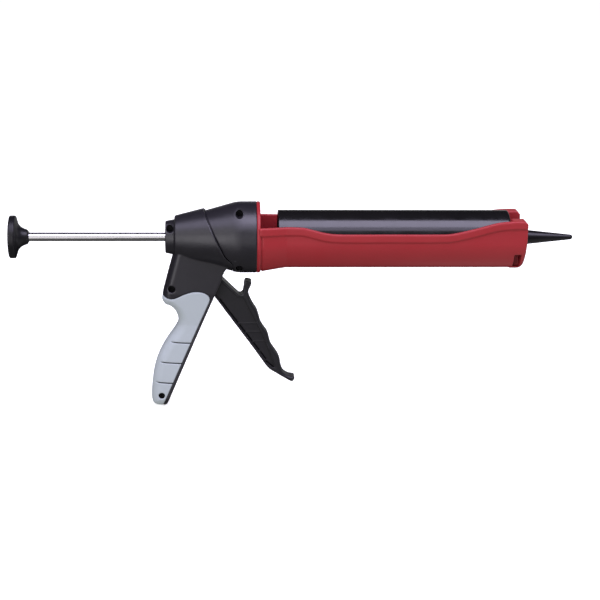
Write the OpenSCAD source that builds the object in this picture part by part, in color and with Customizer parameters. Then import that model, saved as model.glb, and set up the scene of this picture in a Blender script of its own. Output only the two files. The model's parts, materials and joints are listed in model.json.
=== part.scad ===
// Cartridge gun with a half-shell cradle, loaded with a 310 ml cartridge and nozzle.
// Millimetres. X runs along the push rod towards the nozzle, Z is up, and the gun is split at y = 0.
// The origin lies on the rod's axis, where the collar's front face meets the cradle's flange.

/* [Push rod] */
// Diameter of the push rod
rod_d = 8; // [7:0.5:9]
// Length of rod that stands out between the knob and the neck at rest
rod_exposed = 123.8; // [110:0.2:140]
// How far the rod can still move forward
rod_forward = 123; // [100:1:123]
// Diameter of the knob
knob_d = 39; // [34:0.2:46]
// Diameter of the plunger plate
plunger_d = 46; // [40:0.5:47]

/* [Cartridge] */
// Outside diameter of the cartridge tube
tube_d = 50; // [46:0.5:50.6]
// Wall thickness of the cartridge tube
tube_wall = 1.2; // [0.8:0.1:2]
// Where the tube starts, in front of the collar
tube_x0 = 19.8; // [12:0.2:20]
// Length of the tube with its shoulder
tube_len = 212.2; // [200:0.2:216]
// Length of the nozzle in front of its skirt
nozzle_len = 48.8; // [30:0.2:60]

/* [Cradle] */
// Outside radius of the half shell
shell_r = 27.9; // [27.6:0.1:29]
// Inside radius of the half shell
seat_r = 25.5; // [25.3:0.1:26]
// Radius of the flange against the collar
flange_r = 32.7; // [31.6:0.1:33]
// Thickness of the flange
flange_t = 3.4; // [2.5:0.1:5]
// Where the front block ends
cradle_x1 = 246; // [245:0.5:250]

/* [Housing] */
// Wall thickness of the moulded shells
wall = 2.6; // [2.2:0.1:3]
// Width of the handle inside the grip
handle_w = 29; // [28:0.5:32]
// Width of the handle above the grip
handle_top_w = 35; // [32:0.5:35]
// Width of the gap along the seam between body and nose
seam_gap = 0.8; // [0.6:0.1:1.6]
// Thickness of the soft grip at the sides
grip_t = 2.2; // [1.5:0.1:2.4]

/* [Trigger] */
// Width of the trigger
trigger_w = 15; // [13:0.5:15]
// Diameter of the pivot pin
pin_d = 6; // [4:0.5:6]
// Running clearance between a shaft and its bore, measured on the radius
fit = 0.06; // [0.02:0.01:0.1]

/* [Hidden] */
$fn = 64;

// Colours
black = [0.12, 0.12, 0.13];
grey = [0.66, 0.7, 0.75];
red = [0.62, 0.15, 0.18];
steel = [0.72, 0.73, 0.75];
brass = [0.7, 0.58, 0.3];

// Along the rod's axis
neck_x0 = -83.1;
saddle_x0 = -74.9;
saddle_r0 = 19.6;
saddle_slope = 0.258;
cone_x1 = -17.8;
cone_slope = 0.286;
neck_r0 = 14.7;
neck_r1 = 16.2;
rod_r = rod_d / 2;
stub_r = 3;
plunger_front = tube_x0 + tube_len - 16.2 - rod_forward;
plunger_back = plunger_front - 2.5;
knob_x1 = neck_x0 - rod_exposed;
knob_x0 = knob_x1 - 17.7;
knob_r = knob_d / 2;
// The knob's front, as [distance from its back, radius]
knob_face = [[5.9, 18.6], [6.8, 15.7], [7.8, 12.6], [10.2, 9.6], [12.9, 7.9], [16.2, 6.7]];
bush_r = 6.5;
web_x0 = -19.5;
web_x1 = -16;

// The spigot of the cradle turns in the collar
spigot_r = 29;
spigot_lip_r = 30.5;
lip_x0 = -10.6;
lip_x1 = -7.4;
end_play = 0.2;

// The trigger mechanism, as [x, z]
pivot = [-47, -21];
pin_len = 26.4;
roller_arm = 9.2;
roller_r = 2;
roller_back = 13.5;
roller = pivot + roller_arm * [-sin(roller_back), cos(roller_back)];
plate_t = 2.4;
plate_count = 3;
plate_gap = 0.1;
plates_x0 = roller[0] + roller_r + 0.3;
plates_x1 = plates_x0 + plate_count * plate_t + (plate_count - 1) * plate_gap;
lock_x0 = -66;
lock_top = 15.5;
lock_w = 18;

// Screws run across the gun: [x, z, y of the head's seat, y of the tip, recess radius]
body_screws = [[-78.8, 10, -5.5, 8.5, 3.3], [-77.4, -45.3, -10.2, 10, 3.3], [-87.5, -148.6, -10.2, 10, 3]];
collar_screws = [[-15.8, 25.6, -12, 14, 3.3], [-15.8, -24.6, -12.8, 14, 3.3]];
screw_r = 1.5;
head_r = 2.8;
head_t = 2.2;
boss_r = 4.4;

// The seam between body and nose, seen from the side, from top to bottom
seam = [[-54.6, 40], [-28.6, -13], [-24, -17.5], [-21.8, -21], [-21.8, -200]];

// The back of the handle, from the top down to the butt
handle_back = [
    [-73.3, -5], [-76.3, -15.9], [-86.1, -52.9], [-86.3, -56], [-83.4, -60.7], [-78.5, -62.9], [-74.2, -67.6],
    [-71.8, -75], [-72.8, -82.2], [-83.6, -98.7], [-90.2, -111.6], [-94.4, -125], [-96.5, -139.5],
    [-96.9, -151], [-95.4, -156.8], [-91.2, -159.2]
];
// The width of the handle, as [width, z]
handle_sides = [[handle_w, -170], [handle_w, -80], [handle_top_w, -50], [handle_top_w, 0]];
// The front of the handle, from the butt up to the chin
handle_front = [
    [-83.5, -159.5], [-48.1, -75.4], [-31.6, -36], [-30.7, -32.4], [-29.1, -28.8], [-26.6, -25.3],
    [-24.6, -22.5], [-24.6, -19], [-40, -5]
];
// The space inside the handle
handle_hollow = [
    [-70, -4], [-73.2, -15.2], [-81.6, -49], [-80, -56], [-74, -59.5], [-68, -66.5], [-66, -75], [-67.2, -83.5],
    [-77.5, -100], [-84.8, -115], [-89, -130], [-90.4, -145], [-90, -153], [-87.5, -155.3], [-84.6, -155.3],
    [-51.2, -76], [-34.4, -36], [-33, -31], [-30.4, -26], [-27.4, -22], [-27.4, -4]
];
// The upper edge of the soft grip, from the back to the front strip
grip_top = [
    [-90, -49], [-85.9, -51.4], [-82, -53.7], [-77.8, -54.7], [-73.6, -53.9], [-66, -50.4], [-57.8, -48],
    [-50, -48.3], [-44.8, -50.8], [-42.7, -54.1], [-43.3, -58]
];
strip_w = 2.8;
groove_ends = [
    [[-77.8, -96.7], [-56, -97.9]], [[-87, -115.8], [-62, -117.6]], [[-91.4, -134.7], [-70, -136.7]]
];

// The front of the trigger, from the tip of its guard to its hooked end
trigger_front = [
    [-10.9, -46.7], [-10.2, -42.2], [-9, -40.6], [-6.4, -40.8], [-5, -42], [-5.8, -44.9], [-7.3, -49.6],
    [-6.6, -55.2], [-3, -63.1], [0.3, -68.2], [2.5, -74.3], [4.1, -80.3], [7.1, -85.6], [10.4, -90.4],
    [12.2, -96], [13.9, -102.2], [17.3, -107.4], [20.7, -112.7], [22.4, -117.1], [23.8, -124.2],
    [25.9, -129], [31, -132], [35.6, -133], [36.3, -134.6], [33.7, -137.5], [25.4, -132.4], [17, -126.7],
    [10.2, -121.5]
];
trigger_back = [[-1.5, -104.8], [-37.8, -54.8], [-53.5, -23], [-52.5, -10.5], [-49.9, -10.2], [-48, -14]];
trigger_top = [[-41, -28], [-30, -39.8], [-16.3, -53.1], [-14.3, -53.6], [-12.2, -51.9]];
trigger_pocket = [
    [-31.5, -43], [-17.2, -56.4], [-13.2, -56.6], [-4.2, -67.5], [1.5, -80.8], [4.3, -87.4], [11.4, -104.4],
    [16.4, -117.6], [18.5, -124.6], [13.9, -121], [0.5, -103.6], [-34.7, -56]
];
trigger_prong = [[-52.6, -13.5], [-59.4, -7.5], [-62.4, -6.4], [-62.4, -9.8], [-59.4, -12], [-52.8, -24]];
web_t = 6;

// The height of the cradle's edge along its length
cradle_edge = [
    [flange_t, 14.9], [40, 14.9], [50, 12.8], [60, 10.2], [72, 8.6], [122, 8.5], [172, 8.6], [181, 9.9],
    [190, 12.1], [199, 14.4], [208, 16.6], [217, 18.3], [226, 19.4], [234, 20]
];
band_h = 7.4;
band_t = 1;
flare_r = 31.8;
flare_x = 27;
flare_seat_r = 29.1;
block_x0 = 232.2;
ear_z = 20.1;
notch_r = 15;

// The direction of a smooth curve at point i of p
function heading(p, i) =
    let (a = p[max(i - 1, 0)], b = p[min(i + 1, len(p) - 1)])
        (b - a) / (norm(b - p[i]) + norm(p[i] - a));
// The point at t, from 0 to 1, between points i and i + 1 of p
function between(p, i, t) =
    let (l = norm(p[i + 1] - p[i]), u = 1 - t)
        u * u * (1 + 2 * t) * p[i] + t * t * (3 - 2 * t) * p[i + 1]
        + l * t * u * (u * heading(p, i) - t * heading(p, i + 1));
// A smooth curve through the points p, with n steps between each two
function curve(p, n = 4) = [
    for (i = [0 : len(p) - 2])
        for (k = [0 : n - 1])
            between(p, i, k / n),
    p[len(p) - 1]
];
function across(v) = [-v[1], v[0]] / norm(v);
// The points p moved sideways by d, to the left of their direction
function inset(p, d) = [
    for (i = [0 : len(p) - 1]) p[i] + d * across(p[min(i + 1, len(p) - 1)] - p[max(i - 1, 0)])
];
function handle_outline(d) = concat(curve(inset(handle_back, d)), handle_front);
function saddle_r(x) = saddle_r0 + saddle_slope * (x - saddle_x0);
function cone_r(x) = flange_r - cone_slope * (cone_x1 - x);

// A flat shape given as [x, z], as wide as w across the gun
module slab(points, w)
    translate([0, w / 2, 0])
        rotate([90, 0, 0])
            linear_extrude(height = w)
                polygon(points);

// A shape given as [x, radius], turned about the rod's axis
module turned(points)
    rotate([0, 90, 0])
        rotate_extrude()
            polygon([for (p = points) [p[1], p[0]]]);

module rod_along(x0, x1, r)
    translate([x0, 0, 0])
        rotate([0, 90, 0])
            cylinder(h = x1 - x0, r = r);

module ring_along(x0, x1, r_out, r_in)
    turned([[x0, r_in], [x1, r_in], [x1, r_out], [x0, r_out]]);

module pin_across(at, y0, y1, r)
    translate([at[0], y1, at[1]])
        rotate([90, 0, 0])
            cylinder(h = y1 - y0, r = r);

// Keeps the left half (side 1) or the right half (side -1) of what follows
module half(side)
    intersection() {
        children();
        translate([-150, side > 0 ? 0 : -60, -220])
            cube([300, 60, 300]);
    }

// A wire wound about the rod's axis
module coil(x0, x1, r, wire_r, turns) {
    sides = 8;
    steps = 18;
    rings = turns * steps;
    points = [
        for (i = [0 : rings])
            for (k = [0 : sides - 1])
                let (a = 360 * i / steps, b = 360 * k / sides, q = r + wire_r * cos(b))
                    [x0 + (x1 - x0) * i / rings + wire_r * sin(b), q * sin(a), q * cos(a)]
    ];
    walls = [
        for (i = [0 : rings - 1])
            for (k = [0 : sides - 1])
                let (n = (k + 1) % sides)
                    [i * sides + k, i * sides + n, (i + 1) * sides + n, (i + 1) * sides + k]
    ];
    ends = [
        [for (k = [sides - 1 : -1 : 0]) k],
        [for (k = [0 : sides - 1]) rings * sides + k]
    ];
    polyhedron(points, concat(walls, ends), convexity = 8);
}

// Holes for screws that run across the gun, with recesses on the right side
module screw_holes(list)
    for (s = list) {
        pin_across(s, s[2] - 1, s[3], screw_r);
        pin_across(s, -40, s[2], s[4]);
    }

module screws(list)
    for (s = list) {
        pin_across(s, s[2] - 0.1, s[3], screw_r);
        difference() {
            pin_across(s, s[2] - head_t, s[2], head_r);
            pin_across(s, s[2] - head_t - 1, s[2] - head_t + 1.2, 1.3, $fn = 24);
        }
    }

// --- Handle and grip ---

// The part of a side outline that lies within the handle's width, less d on each side
module handle_slab(points, d)
    intersection() {
        slab(points, 60);
        rotate([90, 0, 90])
            translate([0, 0, -110])
                linear_extrude(height = 100)
                    polygon(concat(
                        [for (p = handle_sides) [p[0] / 2 - d, p[1]]],
                        [for (i = [3 : -1 : 0]) [d - handle_sides[i][0] / 2, handle_sides[i][1]]]
                    ));
    }

// The handle's outer form, with a stepped back edge
module handle_form() {
    handle_slab(handle_outline(0), 3);
    handle_slab(handle_outline(2.4), 0);
}

// The hard core under the soft grip
module handle_core()
    handle_slab(handle_outline(4), grip_t);

module grip_region()
    slab(concat(curve(grip_top), [[-84.6 - strip_w * 0.6, -158], [-86, -170], [-120, -170], [-120, -49.5]]), 60);

module grooves()
    for (g = groove_ends)
        for (side = [-1, 1])
            translate([0, side * handle_w / 2, 0])
                slab([g[0], g[1], g[1] - [0, 1.2], g[0] - [0, 1.2]], 1.6);

module grip()
    difference() {
        intersection() {
            handle_form();
            grip_region();
        }
        handle_core();
        grooves();
        screw_holes(body_screws);
    }

// --- Body shells ---

module housing_form() {
    turned([[neck_x0, 0], [neck_x0, neck_r0], [saddle_x0, neck_r1], [saddle_x0, 0]]);
    intersection() {
        turned([[saddle_x0, 0], [saddle_x0, saddle_r(saddle_x0)], [-20, saddle_r(-20)], [-20, 0]]);
        slab(concat([[-100, 40]], [for (p = seam) p - [seam_gap / 2, 0]], [[-100, -200]]), 90);
    }
    difference() {
        handle_form();
        grip_region();
    }
    intersection() {
        handle_core();
        grip_region();
    }
}

module housing_hollow() {
    turned([
        [saddle_x0 + wall, 0], [saddle_x0 + wall, saddle_r(saddle_x0 + wall) - wall],
        [-15, saddle_r(-15) - wall], [-15, 0]
    ]);
    handle_slab(handle_hollow, grip_t + 2.2);
    rod_along(neck_x0 - 1, saddle_x0 + wall + 1, rod_r + 0.5);
    rod_along(neck_x0 + 0.6, saddle_x0 - 1, bush_r);
    // the slot that the trigger swings in
    slab([[-45, -30], [-24, -30], [-24, -36], [-46, -90], [-60, -90]], trigger_w + 2.2);
}

module housing_inside() {
    // bosses for the pivot pin
    for (side = [-1, 1])
        translate([0, side * 11.1, 0])
            pin_across(pivot, -2.9, 2.9, 6);
    // bosses for the screws
    pin_across(body_screws[1], -14, 14, boss_r);
    pin_across(body_screws[2], -11, 11, boss_r);
    // ribs that hold the top of the lock plate
    for (x = [lock_x0 - 2.4, lock_x0 + plate_t + 0.3])
        translate([x, -8, 14])
            cube([2.1, 16, 5.2]);
}

module housing(side)
    color(black)
        half(side)
            difference() {
                union() {
                    difference() {
                        housing_form();
                        housing_hollow();
                    }
                    housing_inside();
                }
                pin_across(pivot, -pin_len / 2, pin_len / 2, pin_d / 2);
                screw_holes(body_screws);
            }

module housing_left() housing(1);
module housing_right() housing(-1);
module grip_left() color(grey) half(1) grip();
module grip_right() color(grey) half(-1) grip();

module housing_screws() color(steel) screws(body_screws);

// --- Nose: cone, collar and the web that guides the rod ---

module nose_form()
    intersection() {
        turned([[-60, 0], [-60, cone_r(-60)], [cone_x1, flange_r], [0, flange_r], [0, 0]]);
        slab(concat([for (p = seam) p + [seam_gap / 2, 0]], [[10, -200], [10, 40]]), 90);
    }

module nose_hollow() {
    turned([[-61, 0], [-61, cone_r(-61) - wall], [web_x0, cone_r(web_x0) - wall], [web_x0, 0]]);
    turned([[web_x1, 0], [web_x1, flange_r - wall], [lip_x0 - 0.4, flange_r - wall], [lip_x0 - 0.4, 0]]);
    turned([
        [lip_x0 - end_play - 0.5, 0], [lip_x0 - end_play - 0.5, spigot_lip_r - 1],
        [lip_x0 - end_play, spigot_lip_r - 1], [lip_x0 - end_play, spigot_lip_r + fit],
        [lip_x1 + end_play, spigot_lip_r + fit], [lip_x1 + end_play, spigot_r + fit], [1, spigot_r + fit], [1, 0]
    ]);
}

// A tongue behind the seam, clamped between the body shells
module nose_tongue()
    intersection() {
        turned([
            [-52, saddle_r(-52) - wall - 2.4], [-52, saddle_r(-52) - wall - 0.05],
            [-26, saddle_r(-26) - wall - 0.05], [-26, cone_r(-26) - wall - 0.6]
        ]);
        slab([seam[0] - [4.5, 0], seam[1] - [4.5, 0], seam[1] + [1.3, 0], seam[0] + [1.3, 0]], 90);
    }

module nose(side)
    color(black)
        half(side)
            difference() {
                union() {
                    difference() {
                        nose_form();
                        nose_hollow();
                    }
                    intersection() {
                        for (s = collar_screws)
                            pin_across(s, -24, 24, boss_r);
                        turned([
                            [-24, 0], [-24, cone_r(-24)], [cone_x1, flange_r - 1], [-11.2, flange_r - 1], [-11.2, 0]
                        ]);
                    }
                    nose_tongue();
                }
                screw_holes(collar_screws);
                rod_along(-30, -10, bush_r);
            }

module nose_left() nose(1);
module nose_right() nose(-1);
module nose_screws() color(steel) screws(collar_screws);

// --- Trigger ---

module trigger()
    color(black)
        difference() {
            union() {
                slab(concat(trigger_top, curve(trigger_front), trigger_back), trigger_w);
                pin_across(pivot, -trigger_w / 2, trigger_w / 2, 6.4);
                // two prongs that reach past the rod to the lock plate
                for (side = [-1, 1])
                    translate([0, side * (trigger_w / 2 - 1.2), 0])
                        slab(trigger_prong, 2.4);
            }
            pin_across(pivot, -20, 20, pin_d / 2 + fit);
            pin_across(roller, -20, 20, roller_r);
            // pockets on both sides leave a web
            for (side = [-1, 1])
                translate([0, side * (web_t / 2 + 5), 0])
                    slab(trigger_pocket, 10);
        }

module trigger_pin()
    color(steel)
        pin_across(pivot, -pin_len / 2, pin_len / 2, pin_d / 2);

module trigger_roller()
    color(steel)
        pin_across(roller, -trigger_w / 2 + 0.5, trigger_w / 2 - 0.5, roller_r);

// --- Rod drive and lock ---

// A steel plate with a hole for the rod
module plate(x, z0, z1, w)
    difference() {
        translate([x, -w / 2, z0])
            cube([plate_t, w, z1 - z0]);
        rod_along(x - 1, x + plate_t + 1, rod_r + 0.3);
    }

module drive_plates()
    color(steel)
        for (i = [0 : plate_count - 1])
            plate(plates_x0 + i * (plate_t + plate_gap), -14, 11.5, 22);

module drive_spring()
    color(steel)
        coil(plates_x1 + 0.85, web_x0 - 0.85, 6.6, 0.8, 5);

// The lock plate rocks on its rounded top edge
module lock_plate()
    color(steel) {
        plate(lock_x0, -16, lock_top, lock_w);
        pin_across([lock_x0 + plate_t / 2, lock_top], -lock_w / 2, lock_w / 2, plate_t / 2);
    }

module lock_spring()
    color(steel)
        coil(saddle_x0 + wall + 0.65, lock_x0 - 0.65, 6, 0.6, 3);

module rear_bush()
    color(brass)
        ring_along(neck_x0 + 0.6, saddle_x0 - 1, bush_r, rod_r + fit);

module front_bush()
    color(brass)
        ring_along(web_x0, web_x1, bush_r, rod_r + fit);

// --- Push rod with knob and plunger ---

module push_rod()
    color(steel)
        turned([
            [knob_x1 - 8, 0], [knob_x1 - 8, rod_r], [plunger_back, rod_r], [plunger_back, stub_r],
            [plunger_front + 8.2, stub_r], [plunger_front + 8.2, 0]
        ]);

module knob()
    color(black)
        difference() {
            turned(concat(
                [[knob_x0, 0], [knob_x0, knob_r - 1.3], [knob_x0 + 1.3, knob_r], [knob_x0 + 5.4, knob_r]],
                curve([for (p = knob_face) [knob_x0 + p[0], p[1]]], 3),
                [[knob_x1, 4.4], [knob_x1, 0]]
            ));
            rod_along(knob_x1 - 8, knob_x1 + 1, rod_r);
        }

module plunger_plate()
    color(steel)
        turned([
            [plunger_back, stub_r], [plunger_back, plunger_d / 2 - 1.6], [plunger_back - 6, plunger_d / 2 - 1.6],
            [plunger_back - 6, plunger_d / 2], [plunger_front, plunger_d / 2], [plunger_front, stub_r]
        ]);

module plunger_washer()
    color(steel)
        ring_along(plunger_front, plunger_front + 1.5, 8, stub_r);

module plunger_nut()
    color(steel)
        difference() {
            translate([plunger_front + 1.5, 0, 0])
                rotate([0, 90, 0])
                    cylinder(h = 5, r = 5.8, $fn = 6);
            rod_along(plunger_front + 1, plunger_front + 8, stub_r);
        }

// --- Cradle ---

// The channel's outer form at a given extra thickness on its sides
module channel(extra) {
    turned([
        [flange_t, 0], [flange_t, flare_r + extra], [flare_x, shell_r + extra],
        [cradle_x1 - 4, shell_r + extra], [cradle_x1 - 1.2, shell_r + extra - 1.4],
        [cradle_x1, shell_r + extra - 6], [cradle_x1, 0]
    ]);
    linear_extrude(height = 30)
        polygon([
            [flange_t, -flare_r - extra], [flare_x, -shell_r - extra], [cradle_x1, -shell_r - extra],
            [cradle_x1, shell_r + extra], [flare_x, shell_r + extra], [flange_t, flare_r + extra]
        ]);
}

// What lies under a line that follows the channel's edge, lowered by d
module under_edge(d)
    slab(concat(
        [[-1, -40], [-1, cradle_edge[0][1] - d]], curve([for (p = cradle_edge) p - [0, d]]),
        [[cradle_x1 - 3.3, ear_z - d], [cradle_x1, ear_z - 4.6 - (d > 0 ? d - 4 : 0)], [cradle_x1, -40]]
    ), 90);

module cradle()
    color(red)
        difference() {
            union() {
                difference() {
                    intersection() {
                        union() {
                            channel(0);
                            difference() {
                                channel(band_t);
                                under_edge(band_h);
                            }
                        }
                        under_edge(0);
                    }
                    // the seat for the cartridge, open at the top
                    rod_along(-1, block_x0, seat_r);
                    translate([-1, -seat_r, 0])
                        cube([block_x0 + 1, 2 * seat_r, 40]);
                    // the seat's flared end
                    turned([[flange_t, 0], [flange_t, flare_seat_r], [flare_x, seat_r], [flare_x, 0]]);
                    linear_extrude(height = 40)
                        polygon([
                            [flange_t, -flare_seat_r], [flare_x, -seat_r], [flare_x, seat_r], [flange_t, flare_seat_r]
                        ]);
                }
                ring_along(0, flange_t, flange_r, seat_r);
                ring_along(lip_x0, 0, spigot_r, seat_r);
                ring_along(lip_x0, lip_x1, spigot_lip_r, seat_r);
            }
            // the notch that the nozzle leaves by
            rod_along(block_x0 - 1, cradle_x1 + 1, notch_r);
            translate([block_x0 - 1, -notch_r, 0])
                cube([cradle_x1 - block_x0 + 2, 2 * notch_r, 40]);
            // two windows low in the sides of the front block
            for (side = [-1, 1])
                intersection() {
                    translate([235, side > 0 ? 12 : -42, -24.5])
                        cube([6.5, 30, 13.5]);
                    ring_along(235, 241.5, 40, 19);
                }
        }

// --- Cartridge ---

module cartridge_tube()
    color(black)
        turned([
            [tube_x0, tube_d / 2 - tube_wall], [tube_x0, tube_d / 2], [tube_x0 + tube_len - 3, tube_d / 2],
            [tube_x0 + tube_len - 1, tube_d / 2 - 1], [tube_x0 + tube_len, tube_d / 2 - 3.4], [tube_x0 + tube_len, 7],
            [tube_x0 + tube_len + 11, 7], [tube_x0 + tube_len + 11, 4.5], [tube_x0 + tube_len - 2.4, 4.5],
            [tube_x0 + tube_len - 2.4, tube_d / 2 - tube_wall]
        ]);

module cartridge_piston()
    color(grey)
        turned([
            [tube_x0 + tube_len - 16, 21.6], [tube_x0 + tube_len - 16, tube_d / 2 - tube_wall - fit],
            [tube_x0 + tube_len - 2.6, tube_d / 2 - tube_wall - fit], [tube_x0 + tube_len - 2.6, 0],
            [tube_x0 + tube_len - 4.6, 0], [tube_x0 + tube_len - 4.6, 21.6]
        ]);

module nozzle() {
    x0 = tube_x0 + tube_len;
    x1 = x0 + 12;
    tip_r = 2.4;
    color(black)
        turned(concat(
            [[x0 + 1, 7], [x0 + 1, 9.6], [x0 + 2, 10.4], [x1 - 1, 10.4], [x1, 9.4], [x1, 7.2]],
            [for (a = [0 : 15 : 90]) [x1 + nozzle_len - tip_r + tip_r * sin(a), tip_r * cos(a)]],
            [[x1 + nozzle_len - 8, 0], [x1 + nozzle_len - 8, 1.2], [x1, 4.8], [x0 + 11, 4.8], [x0 + 11, 7]]
        ));
}

housing_left();
housing_right();
grip_left();
grip_right();
nose_left();
nose_right();
housing_screws();
nose_screws();
trigger();
trigger_pin();
trigger_roller();
drive_plates();
drive_spring();
lock_plate();
lock_spring();
rear_bush();
front_bush();
push_rod();
knob();
plunger_plate();
plunger_washer();
plunger_nut();
cradle();
cartridge_tube();
cartridge_piston();
nozzle();
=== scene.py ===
"""Half-shell cartridge gun: the looks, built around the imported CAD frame.

Shapes are in millimetres and go through MM into Blender's metres. Lights and the camera's distance are in
metres. X runs along the push rod towards the nozzle, Z is up, and the rod's axis is the X axis. Moulded parts
are drawn as signed distance fields, which give them true fillets, and become meshes in mesh_from_field().
"""

import json
import math

import bmesh
import bpy
import numpy as np
from mathutils import Matrix, Vector


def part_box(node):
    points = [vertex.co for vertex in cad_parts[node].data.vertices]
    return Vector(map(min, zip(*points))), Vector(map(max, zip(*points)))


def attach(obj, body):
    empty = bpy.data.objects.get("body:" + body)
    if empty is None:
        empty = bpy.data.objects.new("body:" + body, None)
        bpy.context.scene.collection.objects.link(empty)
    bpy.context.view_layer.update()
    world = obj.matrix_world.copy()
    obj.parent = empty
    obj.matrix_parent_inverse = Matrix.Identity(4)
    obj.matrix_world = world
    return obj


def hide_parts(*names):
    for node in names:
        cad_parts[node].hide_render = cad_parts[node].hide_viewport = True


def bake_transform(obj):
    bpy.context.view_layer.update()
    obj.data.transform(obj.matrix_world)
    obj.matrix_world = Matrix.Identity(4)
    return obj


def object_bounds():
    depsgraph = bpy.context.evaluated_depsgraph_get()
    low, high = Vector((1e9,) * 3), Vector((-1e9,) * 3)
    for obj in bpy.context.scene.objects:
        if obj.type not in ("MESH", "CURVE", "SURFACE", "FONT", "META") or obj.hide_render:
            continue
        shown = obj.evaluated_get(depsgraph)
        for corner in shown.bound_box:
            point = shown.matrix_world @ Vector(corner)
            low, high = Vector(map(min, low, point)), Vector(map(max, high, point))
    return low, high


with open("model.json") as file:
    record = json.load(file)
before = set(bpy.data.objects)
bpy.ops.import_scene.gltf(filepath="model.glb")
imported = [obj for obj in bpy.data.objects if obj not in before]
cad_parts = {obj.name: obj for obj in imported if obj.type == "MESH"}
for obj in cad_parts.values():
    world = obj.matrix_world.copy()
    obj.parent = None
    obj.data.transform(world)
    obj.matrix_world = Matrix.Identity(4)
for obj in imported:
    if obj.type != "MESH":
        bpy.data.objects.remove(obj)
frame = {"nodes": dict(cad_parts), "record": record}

cad_low, cad_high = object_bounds()
MM = 0.001


# --- Curves and outlines ---

def curve(points, steps=5):
    """A smooth curve through the points, with its headings weighted by the spacing."""
    p = np.array(points, float)
    last = len(p) - 1
    heading = []
    for i in range(len(p)):
        before, after = p[max(i - 1, 0)], p[min(i + 1, last)]
        length = np.linalg.norm(after - p[i]) + np.linalg.norm(p[i] - before)
        heading.append((after - before) / length)
    made = []
    for i in range(last):
        length = np.linalg.norm(p[i + 1] - p[i])
        for k in range(steps):
            t = k / steps
            u = 1 - t
            made.append(
                u * u * (1 + 2 * t) * p[i] + t * t * (3 - 2 * t) * p[i + 1]
                + length * t * u * (u * heading[i] - t * heading[i + 1])
            )
    made.append(p[last])
    return [tuple(q) for q in made]


# --- Distance fields: negative inside, positive outside, in millimetres ---

def outline_distance(points, u, v):
    """Signed distance to a closed outline in the plane."""
    best, sign = None, 1.0
    for (ax, ay), (bx, by) in zip(points, points[1:] + points[:1]):
        ex, ey = bx - ax, by - ay
        wx, wy = u - ax, v - ay
        t = np.clip((wx * ex + wy * ey) / (ex * ex + ey * ey + 1e-12), 0, 1)
        d = (wx - ex * t) ** 2 + (wy - ey * t) ** 2
        best = d if best is None else np.minimum(best, d)
        above, below, left = v >= ay, v < by, ex * wy > ey * wx
        turn = (above & below & left) | (~above & ~below & ~left)
        sign = np.where(turn, -sign, sign)
    return sign * np.sqrt(best)


def both(a, b, r=0.0):
    """What lies in both a and b, with the edge between them rounded to the radius r."""
    if np.isscalar(r) and r == 0:
        return np.maximum(a, b)
    return np.minimum(-r, np.maximum(a, b)) + np.hypot(np.maximum(r + a, 0), np.maximum(r + b, 0))


def either(a, b, r=0.0):
    """What lies in a or b, with the corner between them filled to the radius r."""
    return -both(-a, -b, r)


def without(a, b, r=0.0):
    return both(a, -b, r)


def between(value, low, high):
    return np.maximum(low - value, value - high)


def cone(x, radius, x0, r0, slope):
    """Distance to a cone about the X axis whose radius is r0 at x0."""
    return (radius - r0 - slope * (x - x0)) / math.hypot(1, slope)


def cylinder_across(x, z, at, r):
    return np.hypot(x - at[0], z - at[1]) - r


def capsule(u, v, p, q, r):
    """Distance to a bar with round ends from p to q, in the plane."""
    ex, ey = q[0] - p[0], q[1] - p[1]
    t = np.clip(((u - p[0]) * ex + (v - p[1]) * ey) / (ex * ex + ey * ey), 0, 1)
    return np.hypot(u - p[0] - ex * t, v - p[1] - ey * t) - r


def blend_between(value, low, high):
    t = np.clip((value - low) / (high - low), 0, 1)
    return t * t * (3 - 2 * t)


# --- From field to mesh ---

CORNERS = [(i, j, k) for i in (0, 1) for j in (0, 1) for k in (0, 1)]
CELL_EDGES = [
    (a, b) for a in range(8) for b in range(a + 1, 8)
    if sum(abs(p - q) for p, q in zip(CORNERS[a], CORNERS[b])) == 1
]


def cell_vertices(values, cells, steps):
    """One point in each cell that the surface crosses: the mean of its crossings."""
    at_corner = np.stack([values[tuple((cells + c).T)] for c in CORNERS], axis=1)
    total = np.zeros((len(cells), 3))
    count = np.zeros((len(cells), 1))
    for a, b in CELL_EDGES:
        va, vb = at_corner[:, a], at_corner[:, b]
        crossed = (va < 0) != (vb < 0)
        t = np.where(crossed, va / np.where(crossed, va - vb, 1), 0)[:, None]
        place = np.array(CORNERS[a]) * (1 - t) + np.array(CORNERS[b]) * t
        total += np.where(crossed[:, None], place, 0)
        count += crossed[:, None]
    return (cells + total / count) * steps


def crossing_quads(values, number):
    """A quad of four neighbouring cells for each grid edge that the surface crosses."""
    quads = []
    for axis in range(3):
        b, c = (axis + 1) % 3, (axis + 2) % 3
        v = np.moveaxis(values, (axis, b, c), (0, 1, 2))
        n = np.moveaxis(number, (axis, b, c), (0, 1, 2))
        inside = v < 0
        crossed = inside[:-1, 1:-1, 1:-1] != inside[1:, 1:-1, 1:-1]
        i, j, k = np.nonzero(crossed)
        ring = np.stack([n[i, j, k], n[i, j + 1, k], n[i, j + 1, k + 1], n[i, j, k + 1]], axis=1)
        outward = inside[i, j + 1, k + 1]
        quads.append(np.where(outward[:, None], ring, ring[:, ::-1]))
    return np.concatenate(quads)


def slide_to_surface(field, points, reach, rounds=3):
    """Moves the points along the field's slope until they lie on its surface."""
    eps = 0.02
    for _ in range(rounds):
        x, y, z = points.T
        f = field(x, y, z)
        slope = np.stack([
            field(x + eps, y, z) - field(x - eps, y, z),
            field(x, y + eps, z) - field(x, y - eps, z),
            field(x, y, z + eps) - field(x, y, z - eps),
        ], axis=1) / (2 * eps)
        steep = np.maximum((slope ** 2).sum(axis=1), 0.2)
        points = points - np.clip(f / steep, -reach, reach)[:, None] * slope
    return points


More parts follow.
